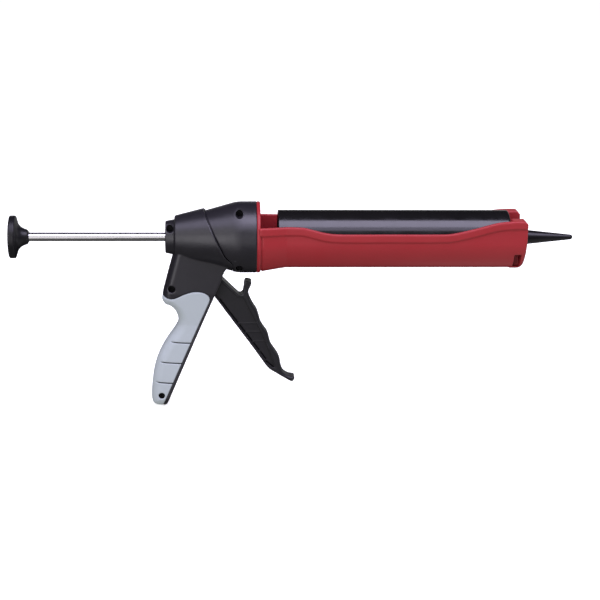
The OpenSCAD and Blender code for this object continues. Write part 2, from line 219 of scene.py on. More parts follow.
def link(name, vertices, faces, smooth=True):
    """A mesh object from points in millimetres and faces of one size."""
    faces = np.asarray(faces, np.int32)
    mesh = bpy.data.meshes.new(name)
    mesh.vertices.add(len(vertices))
    mesh.vertices.foreach_set("co", (np.asarray(vertices) * MM).astype(np.float32).ravel())
    size = faces.shape[1]
    mesh.loops.add(faces.size)
    mesh.loops.foreach_set("vertex_index", faces.ravel())
    mesh.polygons.add(len(faces))
    mesh.polygons.foreach_set("loop_start", np.arange(0, faces.size, size, dtype=np.int32))
    mesh.polygons.foreach_set("use_smooth", np.full(len(faces), smooth))
    mesh.update(calc_edges=True)
    mesh.validate()
    piece = bpy.data.objects.new(name, mesh)
    bpy.context.scene.collection.objects.link(piece)
    return piece


def mesh_from_field(name, field, low, high, step):
    """Meshes a field inside a box. step is the grid's spacing, one number or one for each axis."""
    steps = np.array(step if np.iterable(step) else (step, step, step), float)
    low = np.array(low, float) - 2 * steps
    counts = np.ceil((np.array(high) - low) / steps).astype(int) + 3
    axes = [low[a] + steps[a] * np.arange(counts[a]) for a in range(3)]
    x, y, z = axes[0][:, None, None], axes[1][None, :, None], axes[2][None, None, :]
    values = np.broadcast_to(field(x, y, z), counts).astype(np.float32)
    inside = values < 0
    total = sum(
        inside[i:counts[0] - 1 + i, j:counts[1] - 1 + j, k:counts[2] - 1 + k].astype(np.int8)
        for i, j, k in CORNERS
    )
    cells = np.argwhere((total > 0) & (total < 8))
    number = np.full(total.shape, -1, np.int32)
    number[tuple(cells.T)] = np.arange(len(cells))
    points = cell_vertices(values, cells, steps) + low
    points = slide_to_surface(field, points, steps.min())
    return link(name, points, crossing_quads(values, number))


# A radius below this is on the axis, and edges turned more than this stay sharp
ON_AXIS = 1e-6
SHARP_ANGLE = math.radians(32)


def lathe(name, profile, segments):
    """A mesh from a closed profile of (x, radius) points, turned about the X axis."""
    p = np.array(profile, float)
    turn = np.linspace(0, 2 * np.pi, segments, endpoint=False)
    points = np.stack([
        np.repeat(p[:, 0], segments),
        np.outer(p[:, 1], np.sin(turn)).ravel(),
        np.outer(p[:, 1], np.cos(turn)).ravel(),
    ], axis=1)
    faces = []
    a = np.arange(segments)
    b = (a + 1) % segments
    for i in range(len(p)):
        j = (i + 1) % len(p)
        if p[i, 1] < ON_AXIS and p[j, 1] < ON_AXIS:
            continue
        here, there = i * segments, j * segments
        faces.append(np.stack([here + a, here + b, there + b, there + a], axis=1))
    piece = link(name, points, np.concatenate(faces))
    weld(piece)
    piece.data.set_sharp_from_angle(angle=SHARP_ANGLE)
    return piece


def coil(name, x0, x1, radius, wire, turns, sides=12, steps=36):
    """A spring along the X axis from round wire, closed at both ends."""
    along = np.concatenate([[0], np.linspace(0, 1, turns * steps + 1), [1]])
    thick = np.full(len(along), wire)
    thick[[0, -1]] = 0
    around = np.linspace(0, 2 * np.pi, sides, endpoint=False)
    angle = 2 * np.pi * turns * along
    out = radius + np.outer(thick, np.cos(around))
    points = np.stack([
        (x0 + (x1 - x0) * along)[:, None] + np.outer(thick, np.sin(around)),
        out * np.sin(angle)[:, None],
        out * np.cos(angle)[:, None],
    ], axis=-1).reshape(-1, 3)
    ring = np.arange(len(along) - 1)[:, None] * sides
    a = np.arange(sides)
    b = (a + 1) % sides
    faces = np.stack([ring + a, ring + b, ring + sides + b, ring + sides + a], axis=-1).reshape(-1, 4)
    piece = link(name, points, faces)
    weld(piece)
    return piece


WELD_DISTANCE = 0.002 * MM


def weld(piece):
    """Joins points that lie on each other, and turns the faces outward."""
    bm = bmesh.new()
    bm.from_mesh(piece.data)
    bmesh.ops.remove_doubles(bm, verts=bm.verts, dist=WELD_DISTANCE)
    bmesh.ops.dissolve_degenerate(bm, edges=bm.edges, dist=WELD_DISTANCE / 2)
    bmesh.ops.recalc_face_normals(bm, faces=bm.faces)
    bm.to_mesh(piece.data)
    bm.free()


def rounded(points, radii, steps=4):
    """The outline through the points with its corners rounded, and a support point beside each arc."""
    p = np.array(points, float)
    made = []
    for i, r in enumerate(radii):
        if r == 0:
            made.append(tuple(p[i]))
            continue
        a, b = p[i - 1] - p[i], p[(i + 1) % len(p)] - p[i]
        la, lb = np.linalg.norm(a), np.linalg.norm(b)
        a, b = a / la, b / lb
        half = math.acos(np.clip(a @ b, -1, 1)) / 2
        cut = r / math.tan(half)
        centre = p[i] + (a + b) / np.linalg.norm(a + b) * r / math.sin(half)
        if la > 2.5 * cut + 0.6:
            made.append(tuple(p[i] + a * (cut + 0.3)))
        first, last = p[i] + a * cut - centre, p[i] + b * cut - centre
        sweep = math.pi - 2 * half
        sense = np.sign(first[0] * last[1] - first[1] * last[0])
        for k in range(steps + 1):
            t = sense * sweep * k / steps
            c, s = math.cos(t), math.sin(t)
            made.append(tuple(centre + np.array([c * first[0] - s * first[1], s * first[0] + c * first[1]])))
        if lb > 2.5 * cut + 0.6:
            made.append(tuple(p[i] + b * (cut + 0.3)))
    return made


# --- Sizes, as the CAD has them ---

# A cone about the rod has its radius R at its X and gains its slope per millimetre towards +X.
# The nose's cone reaches the collar's radius at CONE_X.
NECK_X, SADDLE_X = -83.1, -74.9
SADDLE_R, SADDLE_SLOPE = 19.6, 0.258
NECK_R, NECK_SLOPE = 14.7, 0.19
COLLAR_R, CONE_X, CONE_SLOPE = 32.7, -17.8, 0.286
WALL = 2.6
BUSH_R, ROD_R = 6.5, 4.0
PIVOT = (-47, -21)
HANDLE_HALF, HANDLE_TOP_HALF = 14.5, 17.5
# The grip's thickness, and half the gap between the two halves
GRIP_T = 2.2
PARTING = 0.05
# Each screw's axis as (x, z), the y of its seat and of its tip, and the radius of its recess
BODY_SCREWS = [
    ((-78.8, 10), -5.5, 8.5, 3.3),
    ((-77.4, -45.3), -10.2, 10, 3.3),
    ((-87.5, -148.6), -10.2, 10, 3.0),
]
COLLAR_SCREWS = [((-15.8, 25.6), -12, 14, 3.3), ((-15.8, -24.6), -12.8, 14, 3.3)]
SHANK_R, SCREW_BOSS_R = 1.5, 4.4
PIN_R, PIN_HALF = 3, 13.2
PIN_BOSS_R, PIN_BOSS_Y = 6, (8.2, 14)
TRIGGER_GAP_HALF = 8.6

# Side outlines as (x, z)
SEAM = [(-54.6, 40), (-28.6, -13), (-24, -17.5), (-21.8, -21), (-21.8, -200)]
BEHIND_SEAM = SEAM + [(-200, -200), (-200, 40)]
HANDLE_FOOT = -159.45
HANDLE_BACK = [
    (-73.3, -5), (-76.3, -15.9), (-86.1, -52.9), (-86.3, -56), (-83.4, -60.7), (-78.5, -62.9), (-74.2, -67.6),
    (-71.8, -75), (-72.8, -82.2), (-83.6, -98.7), (-90.2, -111.6), (-94.4, -125), (-96.5, -139.5),
    (-96.9, -151), (-95.4, -156.8), (-91.2, -159.1), (-83.5, HANDLE_FOOT),
]
HANDLE_FRONT = [
    (-95, -186.9), (-48.1, -75.4), (-31.6, -36), (-30.7, -32.4), (-29.1, -28.8), (-26.6, -25.3),
    (-24.6, -22.5), (-24.6, -5),
]
HANDLE_HOLLOW = [
    (-70, -4), (-73.2, -15.2), (-81.6, -49), (-80, -56), (-74, -59.5), (-68, -66.5), (-66, -75),
    (-67.2, -83.5), (-77.5, -100), (-84.8, -115), (-89, -130), (-90.4, -145), (-90, -153),
    (-87.5, -155.3), (-84.6, -155.3), (-51.2, -76), (-34.4, -36), (-33, -31), (-30.4, -26),
    (-27.4, -22), (-27.4, -4),
]
SLOT = [(-45, -30), (-24, -30), (-24, -36), (-46, -90), (-60, -90)]
GRIP_TOP = [
    (-90, -49), (-85.9, -51.4), (-82, -53.7), (-77.8, -54.7), (-73.6, -53.9), (-66, -50.4), (-57.8, -48),
    (-50, -48.3), (-44.8, -50.8), (-42.7, -54.1), (-43.3, -58),
]
GRIP_REST = [(-86.3, -158), (-88, -170), (-120, -170), (-120, -49.5)]
GROOVES = [
    ((-79.3, -96.6), (-50, -97.6)),
    ((-88.4, -115.9), (-58, -117.3)),
    ((-93, -135.2), (-66, -136.8)),
]


# --- Handle, grip and body shells ---

def handle_half(z):
    """Half the handle's width, which tapers from the saddle down to the grip."""
    return np.interp(z, [-80, -50], [HANDLE_HALF, HANDLE_TOP_HALF])


def handle(x, y, z):
    """The whole handle with grip: rounder at the back of the grip than under the saddle."""
    back = outline_distance(curve(HANDLE_BACK) + [(40, HANDLE_FOOT), (40, -5)], x, z)
    front = outline_distance(HANDLE_FRONT + [(-200, -5), (-200, -186.9)], x, z)
    side = np.abs(y) - handle_half(z)
    r = 7 + 2 * blend_between(-z, 56, 78)
    return both(both(back, side, r), front, 0.9)


def grip_region(x, z):
    return outline_distance(curve(GRIP_TOP) + GRIP_REST, x, z)


def groove(x, z):
    """The three grooves in the sides of the grip."""
    made = None
    for p, q in GROOVES:
        ex, ez = q[0] - p[0], q[1] - p[1]
        t = np.clip(((x - p[0]) * ex + (z - p[1]) * ez) / (ex * ex + ez * ez), 0, 1)
        bow = 0.4 * np.sin(np.pi * t)
        width = 0.45 + 0.13 * np.sqrt(np.clip(t * 5, 0, 1))
        d = np.hypot(x - p[0] - ex * t, z - p[1] - ez * t + bow) - width
        made = d if made is None else np.minimum(made, d)
    return made


def screw_cuts(shape, screws, x, y, z, side):
    """Recesses on the right side, and bores for the shanks."""
    for at, seat, tip, r in screws:
        if side < 0:
            shape = without(shape, both(cylinder_across(x, z, at, r), y - seat), 0.35)
        shape = without(shape, both(cylinder_across(x, z, at, SHANK_R), between(y, seat - 1, tip)))
    return shape


def seam_half(z):
    """Half the width of the seam's gap, which is widest at mid height and closes near the trigger."""
    return np.interp(z, [-21.5, -19, -10, 8, 30], [0.06, 0.35, 0.5, 0.45, 0.28])


def saddle_cone(x, y, z):
    """Distance to the saddle, which stands proud of the nose on top and is flush with it underneath."""
    drop = 2.0 * blend_between(-z, 0, 24) * blend_between(x, -62, -36)
    return cone(x, np.hypot(y, z), SADDLE_X, SADDLE_R, SADDLE_SLOPE) + drop


def half_of(shape, y, side):
    return both(shape, PARTING - side * y, 0.25)


def housing(side):
    def field(x, y, z):
        radius = np.hypot(y, z)
        neck = both(cone(x, radius, NECK_X, NECK_R, NECK_SLOPE), between(x, NECK_X, -70), 0.9)
        saddle = both(saddle_cone(x, y, z), SADDLE_X - x, 1.6)
        behind = outline_distance(BEHIND_SEAM, x, z) + seam_half(z)
        saddle = both(saddle, behind, 0.5)
        grip_line = grip_region(x, z)
        whole = handle(x, y, z)
        black = without(whole, grip_line - 0.1, 0.45)
        shape = either(either(neck, saddle, 0.3), np.minimum(black, whole + GRIP_T), 0.5)
        inner = both(saddle_cone(x, y, z) + WALL, SADDLE_X + WALL - x)
        shaft = both(outline_distance(HANDLE_HOLLOW, x, z), np.abs(y) - handle_half(z) + GRIP_T + 2.2)
        shape = without(shape, np.minimum(inner, shaft), 0.2)
        shape = without(shape, both(outline_distance(SLOT, x, z), np.abs(y) - TRIGGER_GAP_HALF), 0.7)
        bosses = both(cylinder_across(x, z, PIVOT, PIN_BOSS_R), between(np.abs(y), *PIN_BOSS_Y))
        for (at, _, _, _), reach in zip(BODY_SCREWS[1:], (14, 11)):
            bosses = np.minimum(bosses, both(cylinder_across(x, z, at, SCREW_BOSS_R), np.abs(y) - reach))
        shape = np.minimum(shape, bosses)
        shape = without(shape, both(cylinder_across(x, z, PIVOT, PIN_R), np.abs(y) - PIN_HALF))
        shape = without(shape, both(radius - ROD_R - 0.4, between(x, -90, -70)), 0.4)
        shape = without(shape, both(radius - BUSH_R, between(x, NECK_X + 0.6, SADDLE_X - 1)))
        return half_of(screw_cuts(shape, BODY_SCREWS, x, y, z, side), y, side)
    return field


def grip(side):
    def field(x, y, z):
        whole = handle(x, y, z)
        shape = both(whole, grip_region(x, z) + 0.1, 0.7)
        shape = both(shape, -(whole + GRIP_T - 0.02))
        cut = both(groove(x, z), HANDLE_HALF - 2.6 - np.abs(y))
        shape = without(shape, cut, 0.3)
        return half_of(screw_cuts(shape, BODY_SCREWS[2:], x, y, z, side), y, side)
    return field


# --- Nose ---

TONGUE_T = 2.4
# Rings cut inside the collar, which hold the cradle's spigot: radius, and from x to x
COLLAR_RINGS = [
    (COLLAR_R - WALL, -16, -11),
    (29.5, -11.4, -10.7),
    (30.6, -10.8, -7.2),
    (29.1, -7.3, 5),
]


def nose(side):
    def field(x, y, z):
        radius = np.hypot(y, z)
        outer = both(cone(x, radius, CONE_X, COLLAR_R, CONE_SLOPE), radius - COLLAR_R, 1.2)
        seam = outline_distance(BEHIND_SEAM, x, z)
        ahead = seam_half(z) - seam
        shape = both(both(outer, x, 0.7), ahead, 0.5)
        hollow = both(cone(x, radius, CONE_X, COLLAR_R, CONE_SLOPE) + WALL, x + 19.5)
        for r, start, end in COLLAR_RINGS:
            hollow = np.minimum(hollow, both(radius - r, between(x, start, end)))
        shape = without(shape, hollow)
        for at, _, _, _ in COLLAR_SCREWS:
            boss = both(cylinder_across(x, z, at, SCREW_BOSS_R), between(x, -30, -11.2))
            shape = np.minimum(shape, both(boss, outer + 1))
        # A tongue inside the saddle closes the seam's gap, and is narrower near the trigger
        under = saddle_cone(x, y, z) + WALL + 0.05
        tongue_back = -4 + 1.6 * blend_between(-z, 12, 18)
        along_seam = np.maximum(tongue_back - seam, seam - 1.5)
        shape = np.minimum(shape, both(both(under, -(under + TONGUE_T)), along_seam, 0.2))
        shape = without(shape, both(radius - BUSH_R, between(x, -30, -10)))
        return half_of(screw_cuts(shape, COLLAR_SCREWS, x, y, z, side), y, side)
    return field


# --- Trigger ---

TRIGGER_HALF = 7.5
TRIGGER_FRONT = [
    (-11.3, -46.7), (-10.9, -42.2), (-9.7, -40.5), (-6.2, -40.7), (-4.3, -41.8), (-5.2, -44.9), (-7.1, -49.6),
    (-6.6, -55.2), (-3, -63.1), (0.3, -68.2), (2.5, -74.3), (4.1, -80.3), (7.1, -85.6), (10.4, -90.4),
    (12.2, -96), (13.9, -102.2), (17.3, -107.4), (20.7, -112.7), (22.4, -117.1), (23.8, -124.2),
    (25.9, -129), (31, -132), (35.6, -133), (36.3, -134.6), (33.9, -137.5), (26.4, -133.4), (19, -128.8),
    (13, -125), (9.3, -121),
]
TRIGGER_BACK = [(-1.8, -105.1), (-38.1, -55.1), (-53.5, -23), (-52.5, -10.5), (-49.9, -10.2), (-48, -14)]
TRIGGER_TOP = [(-41, -28), (-30, -39.8), (-16.3, -53.1), (-14.3, -53.6), (-12.2, -51.9)]
TRIGGER_POCKET = [
    (-41, -31), (-30.7, -41.2), (-16.9, -54.8), (-12.6, -54.8), (-10.8, -57), (-4.9, -68.6), (0.6, -79.6),
    (4.7, -88), (11.4, -103.8), (16.6, -117.5), (18.7, -124), (13.6, -121.2), (0.2, -103.9), (-39.8, -49.8),
]
# Slots in the web along the back rim, as distances from the pocket's upper back corner
REAR_SLOTS = [(10.5, 38), (40.6, 49.4), (51.6, 60.4), (62.6, 71.4), (73.6, 82.2)]
LAST_SLOT = ((9.4, -117.2), (16.6, -123.2))
SLOT_INSET, SLOT_HALF = 0.7, 0.5
WEB_RIBS = [-80.9, -89, -98.2]
WEB_HALF = 5.6
# A unit vector square to the straight back rim, pointing forward
FROM_BACK = (0.809, 0.588)
PRONG = [(-52.6, -13.5), (-59.4, -7.5), (-62.4, -6.4), (-62.4, -9.8), (-59.4, -12), (-52.8, -24)]
ROLLER = (-49.15, -12.05)


def rim_slots(x, z):
    """A row of slots along the trigger's back rim."""
    p, q = np.array(TRIGGER_POCKET[-1]), np.array(TRIGGER_POCKET[-2])
    d = (q - p) / np.linalg.norm(q - p)
    p = p + SLOT_INSET * np.array((-d[1], d[0]))
    made = capsule(x, z, *LAST_SLOT, SLOT_HALF)
    for start, end in REAR_SLOTS:
        made = np.minimum(made, capsule(x, z, p + start * d, p + end * d, SLOT_HALF))
    return made


def trigger(x, y, z):
    outline = outline_distance(TRIGGER_TOP + curve(TRIGGER_FRONT) + TRIGGER_BACK, x, z)
    (back_x, back_z), (nx, nz) = TRIGGER_BACK[1], FROM_BACK
    from_back = (x - back_x) * nx + (z - back_z) * nz
    r = 0.7 + 1.5 * blend_between(from_back, 4, 9) * blend_between(-z, 52, 60)
    shape = both(outline, np.abs(y) - TRIGGER_HALF, r)
    shape = either(shape, both(cylinder_across(x, z, PIVOT, 6.4), np.abs(y) - TRIGGER_HALF, 0.4), 1)
    pocket = outline_distance(TRIGGER_POCKET, x, z)
    shape = without(shape, both(pocket, WEB_HALF - np.abs(y), 0.5), 0.4)
    for level in WEB_RIBS:
        rib = both(both(np.abs(z - level) - 0.25, np.abs(y) - WEB_HALF - 0.3), pocket)
        shape = either(shape, rib, 0.3)
    shape = without(shape, both(rim_slots(x, z), WEB_HALF - 2.4 - np.abs(y)), 0.15)
    prong = both(outline_distance(PRONG, x, z), between(np.abs(y), 5.1, 7.5), 0.3)
    shape = either(shape, prong, 0.8)
    shape = without(shape, cylinder_across(x, z, PIVOT, 3.06), 0.3)
    return without(shape, cylinder_across(x, z, ROLLER, 2.0))


# --- Cradle ---

SHELL_R, SEAT_R, FLARE_R, FLARE_SEAT_R, FLARE_X = 27.9, 25.5, 31.8, 29.1, 27
FLANGE_T = 3.4
BLOCK_X, CRADLE_X1, EAR_Z = 232.2, 246, 20.8
NOTCH_R = 15
BAND_H, BAND_T = 7.4, 1.0
BAND_GROOVE_X, BAND_GROOVE_HALF = 4.2, 0.6
SPIGOT_X, SPIGOT_R = -10.6, 29
SPIGOT_LIP_X, SPIGOT_LIP_R = -7.4, 30.5
WINDOW_X, WINDOW_Z, WINDOW_Y = (235, 241.5), (-24.5, -11), 10
CRADLE_EDGE = curve([
    (-40, 14.9), (FLANGE_T, 14.9), (40, 14.9), (50, 12.8), (60, 10.2), (72, 8.6), (122, 8.5), (172, 8.6),
    (181, 9.8), (190, 11.8), (199, 14), (208, 16.5), (217, 18.9), (226, 20.2), (234, 20.7), (244, EAR_Z),
    (290, EAR_Z),
], 8)


def channel(y, z):
    """Distance from the middle of the U: round below the axis, upright above it."""
    return np.where(z < 0, np.hypot(y, z), np.abs(y) + 0 * z)


def cradle(x, y, z):
    edge_x, edge_z = np.array(CRADLE_EDGE).T
    edge = np.interp(x, edge_x, edge_z)
    tilt = np.hypot(1, (np.interp(x + 1, edge_x, edge_z) - np.interp(x - 1, edge_x, edge_z)) / 2)
    u = channel(y, z)
    flare = np.clip((FLARE_X - x) / (FLARE_X - FLANGE_T), 0, 1)
    r = SHELL_R + (FLARE_R - SHELL_R) * flare
    r = r + 0.6 * blend_between(x, 232, 235) * blend_between(-z, 14, 24)
    below_band = (edge - BAND_H - z) / tilt
    band_t = np.minimum(BAND_T, COLLAR_R - 0.1 - r)
    shell = either(u - r, both(u - r - band_t, below_band, 0.5), 0.4)
    groove_x = np.abs(x - BAND_GROOVE_X) - BAND_GROOVE_HALF
    shell = without(shell, both(both(groove_x, r - 1.0 - u), -below_band), 0.2)
    shell = both(shell, (z - edge) / tilt, 1.5)
    shell = both(shell, x - CRADLE_X1, 0.8 + 4.9 * blend_between(-z, -8, 20))
    shell = both(shell, ((x - CRADLE_X1) + (z - EAR_Z) + 2.7) / math.sqrt(2), 0.5)
    shell = both(shell, FLANGE_T - 1 - x)
    seat_r = SEAT_R + (FLARE_SEAT_R - SEAT_R) * flare
    seat = both(u - seat_r, x - BLOCK_X, 0.6)
    shell = without(shell, np.minimum(seat, u - NOTCH_R), 0.8)
    radius = np.hypot(y, z)
    flange = both(radius - COLLAR_R, between(x, 0, FLANGE_T), 1.0)
    spigot = both(radius - SPIGOT_R, between(x, SPIGOT_X, 1))
    lip = both(radius - SPIGOT_LIP_R, between(x, SPIGOT_X, SPIGOT_LIP_X), 0.3)
    ring = without(np.minimum(flange, np.minimum(spigot, lip)), radius - SEAT_R, 0.4)
    shape = either(shell, ring, 0.3)
    window = both(both(between(x, *WINDOW_X), between(z, *WINDOW_Z), 0.5), 13.4 - radius)
    return without(shape, both(window, WINDOW_Y - np.abs(y)), 0.5)


# --- Nozzle ---

TUBE_X0, TUBE_X1, TUBE_R = 19.8, 231.7, 25
NOZZLE_X0, NOZZLE_X1 = 244, 292.8
NOZZLE_R, NOZZLE_SLOPE = 7.2, -0.104
DUCT_R, DUCT_SLOPE = 4.8, -0.0873
SKIRT_X, SKIRT_R, SKIRT_RIBS = 233, 9.9, 16


def nozzle(x, y, z):
    radius = np.hypot(y, z)
    body = both(cone(x, radius, NOZZLE_X0, NOZZLE_R, NOZZLE_SLOPE), x - NOZZLE_X1, 2.2)
    ribs = 0.45 * np.maximum(np.cos(SKIRT_RIBS * np.arctan2(y, z)), -0.3)
    skirt = both(radius - SKIRT_R - ribs, between(x, SKIRT_X, NOZZLE_X0), 0.8)
    shape = either(both(body, 236 - x), skirt, 1.2)
    bore = both(radius - 7, between(x, 230, 243.2))
    duct = both(cone(x, radius, NOZZLE_X0, DUCT_R, DUCT_SLOPE), x - NOZZLE_X1 + 8)
    return without(shape, np.minimum(bore, duct), 0.3)


# --- Materials ---

def nodes_of(name):
    material = bpy.data.materials.new(name)
    material.use_nodes = True
    tree = material.node_tree
    return material, tree, tree.nodes["Principled BSDF"]


def noise(tree, scale, detail=2.0, roughness=0.5, stretch=(1, 1, 1)):
    """A noise texture in the object's own space. scale is in waves per metre."""
    place = tree.nodes.new("ShaderNodeTexCoord")
    mapping = tree.nodes.new("ShaderNodeMapping")
    mapping.inputs["Scale"].default_value = stretch
    texture = tree.nodes.new("ShaderNodeTexNoise")
    texture.inputs["Scale"].default_value = scale
    texture.inputs["Detail"].default_value = detail
    texture.inputs["Roughness"].default_value = roughness
    tree.links.new(place.outputs["Object"], mapping.inputs["Vector"])
    tree.links.new(mapping.outputs["Vector"], texture.inputs["Vector"])
    return texture.outputs["Fac"]


def spread(tree, value, low, high, from_low=0.3, from_high=0.7):
    """Maps a texture's value to the range from low to high."""
    node = tree.nodes.new("ShaderNodeMapRange")
    node.inputs["From Min"].default_value = from_low
    node.inputs["From Max"].default_value = from_high
    node.inputs["To Min"].default_value = low
    node.inputs["To Max"].default_value = high
    tree.links.new(value, node.inputs["Value"])
    return node.outputs["Result"]


def mix(tree, amount, a, b):
    """A colour between a and b by amount, where a and b are colours or sockets."""
    node = tree.nodes.new("ShaderNodeMix")
    node.data_type = "RGBA"
    tree.links.new(amount, node.inputs["Factor"])
    for key, colour in ((6, a), (7, b)):
        if isinstance(colour, tuple):
            node.inputs[key].default_value = (*colour, 1)
        else:
            tree.links.new(colour, node.inputs[key])
    return node.outputs[2]


def worn_edges(tree):
    """0 on flat and hollow surfaces and 1 on sharp convex edges."""
    geometry = tree.nodes.new("ShaderNodeNewGeometry")
    return spread(tree, geometry.outputs["Pointiness"], 0, 1, 0.53, 0.62)


def bump(tree, shader, height, distance, strength=1.0):
    node = tree.nodes.new("ShaderNodeBump")
    node.inputs["Strength"].default_value = strength
    node.inputs["Distance"].default_value = distance
    tree.links.new(height, node.inputs["Height"])
    tree.links.new(node.outputs["Normal"], shader.inputs["Normal"])


def moulded(name, colour, edge_colour, rough, grain, grain_scale, specular=0.5, drift=0.12):
    """Moulded plastic: spark-eroded grain, faint flow clouds in its colour and gloss, and rubbed edges.

    grain is the grain's depth in metres, grain_scale its waves per metre, and drift the clouds' strength.
    """
    material, tree, shader = nodes_of(name)
    clouds = noise(tree, 28, 3)
    tint = tuple(min(c * (1 + drift) + 0.002, 1) for c in colour)
    base = mix(tree, clouds, colour, tint)
    rubbed = tree.nodes.new("ShaderNodeMath")
    rubbed.operation = "MULTIPLY"
    tree.links.new(worn_edges(tree), rubbed.inputs[0])
    tree.links.new(spread(tree, noise(tree, 160, 4), 0.1, 0.8), rubbed.inputs[1])
    base = mix(tree, rubbed.outputs[0], base, edge_colour)
    tree.links.new(base, shader.inputs["Base Color"])
    smears = noise(tree, 55, 4, 0.6, (1, 1, 0.5))
    tree.links.new(spread(tree, smears, rough - 0.05, rough + 0.06), shader.inputs["Roughness"])
    shader.inputs["Specular IOR Level"].default_value = specular
    bump(tree, shader, noise(tree, grain_scale, 2, 0.6), grain)
    return material


def metal(name, colour, rough, streak, scale, depth):
    """Metal with fine drawn or turned streaks and a little tarnish."""
    material, tree, shader = nodes_of(name)
    shader.inputs["Metallic"].default_value = 1.0
    dark = tuple(c * 0.82 for c in colour)
    tarnish = spread(tree, noise(tree, 60, 4), 0, 0.5)
    tree.links.new(mix(tree, tarnish, colour, dark), shader.inputs["Base Color"])
    lines = noise(tree, scale, 3, 0.6, streak)
    tree.links.new(spread(tree, lines, rough * 0.7, rough * 1.5), shader.inputs["Roughness"])
    bump(tree, shader, lines, depth, 0.6)
    return material


# Each plastic's colour, colour on rubbed edges, roughness, grain depth, grain scale and other settings
PLASTICS = {
    "housing_plastic": ((0.0105, 0.0098, 0.0125), (0.06, 0.06, 0.066), 0.33, 3e-5, 2200, {}),
    "trigger_plastic": ((0.009, 0.0086, 0.0103), (0.04, 0.04, 0.044), 0.36, 3e-5, 2400, {"specular": 0.36}),
    "knob_plastic": ((0.0055, 0.0054, 0.0064), (0.03, 0.03, 0.034), 0.32, 2e-5, 2400, {"specular": 0.3}),
    "soft_grip": (
        (0.318, 0.352, 0.372), (0.40, 0.43, 0.45), 0.62, 6e-5, 1900, {"specular": 0.3, "drift": 0.03}
    ),
    "red_plastic": (
        (0.24, 0.0145, 0.019), (0.40, 0.045, 0.054), 0.37, 3e-5, 2100, {"specular": 0.27, "drift": 0.08}
    ),
    "cartridge_plastic": ((0.0045, 0.0042, 0.0045), (0.03, 0.03, 0.034), 0.18, 4e-6, 1400, {}),
    "nozzle_plastic": ((0.005, 0.0049, 0.0056), (0.02, 0.02, 0.023), 0.3, 1e-5, 1600, {"specular": 0.3}),
    "piston_plastic": ((0.68, 0.68, 0.65), (0.74, 0.74, 0.72), 0.5, 2e-5, 1600, {}),
}
# Each metal's colour, roughness, stretch of its streaks, their scale and their depth
METALS = {
    "chromed_rod": ((0.84, 0.83, 0.83), 0.13, (0.02, 1, 1), 700, 4e-7),
    "hardened_steel": ((0.34, 0.34, 0.36), 0.38, (1, 0.08, 1), 1400, 1e-5),
    "spring_steel": ((0.42, 0.42, 0.44), 0.3, (1, 1, 1), 900, 1e-5),
    "zinc_steel": ((0.66, 0.67, 0.70), 0.26, (1, 1, 1), 700, 1e-5),
    # blackened_steel is near black partly for the screws' blackened finish and partly as painted shade, so
    # the deep screw recesses read dark
    "blackened_steel": ((0.012, 0.012, 0.013), 0.4, (1, 1, 1), 900, 1e-5),
    "brass": ((0.62, 0.45, 0.17), 0.28, (1, 1, 1), 1100, 1e-5),
}


def all_materials():
    made = {name: moulded(name, *values, **others) for name, (*values, others) in PLASTICS.items()}
    made.update({name: metal(name, *values) for name, values in METALS.items()})
    return made


# --- Pieces ---

MATERIALS = all_materials()
SLOT_OF = {s["node"]: s["material_slot"] for s in frame["record"]["subparts"]}
BODY_OF = {n: body for body, names in frame["record"]["behaviour"]["bodies"].items() for n in names}


def finish_cad_nodes():
    """Gives every CAD node its procedural material."""
    for name, node in frame["nodes"].items():
        node.data.materials.clear()
        node.data.materials.append(MATERIALS[SLOT_OF[name]])


def stands_for(piece, node):
    """Puts a detailed piece in place of a CAD node, on its body and with its finish."""
    piece.data.materials.append(MATERIALS[SLOT_OF[node]])
    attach(piece, BODY_OF[node])
    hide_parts(node)
    return piece


def in_mm(node):
    """The corners of a CAD node's box in millimetres."""
    low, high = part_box(node)
    return [c / MM for c in low], [c / MM for c in high]


# Fields and the spacing of their grids: the parts made as two halves, and the parts made as one
HALVES = [("housing", housing, 0.62), ("grip", grip, 0.5), ("nose", nose, 0.5)]
WHOLES = [
    ("trigger_lever", "trigger", trigger, 0.5),
    ("cradle_shell", "cradle", cradle, (0.95, 0.9, 0.9)),
    ("nozzle_cone", "nozzle", nozzle, 0.35),
]


def build_moulded():
    parts = [
        (f"{part}_{word}_shell", f"{part}_{word}", shape(side), step)
        for side, word in ((1, "left"), (-1, "right"))
        for part, shape, step in HALVES
    ]
    for name, node, field, step in parts + WHOLES:
        low, high = in_mm(node)
        stands_for(mesh_from_field(name, field, low, high, step), node)


# The knob's radius, the width of its rim, and its front as (distance from its back, radius)
KNOB_R = 19.5
KNOB_RIM = 5.6
KNOB_FACE = [(6.0, 18.1), (6.8, 15.7), (7.8, 12.6), (10.2, 9.6), (12.9, 7.9), (16.2, 6.7)]
ROD_IN_KNOB = 8
# The rod's front end carries the plunger on a thinner stub
STUB_X, STUB_R = 90.3, 3.0
TUBE_WALL, TUBE_FLOOR = 1.2, 2.4
OUTLET_R, OUTLET_BORE, OUTLET_LENGTH = 7, 4.5, 11


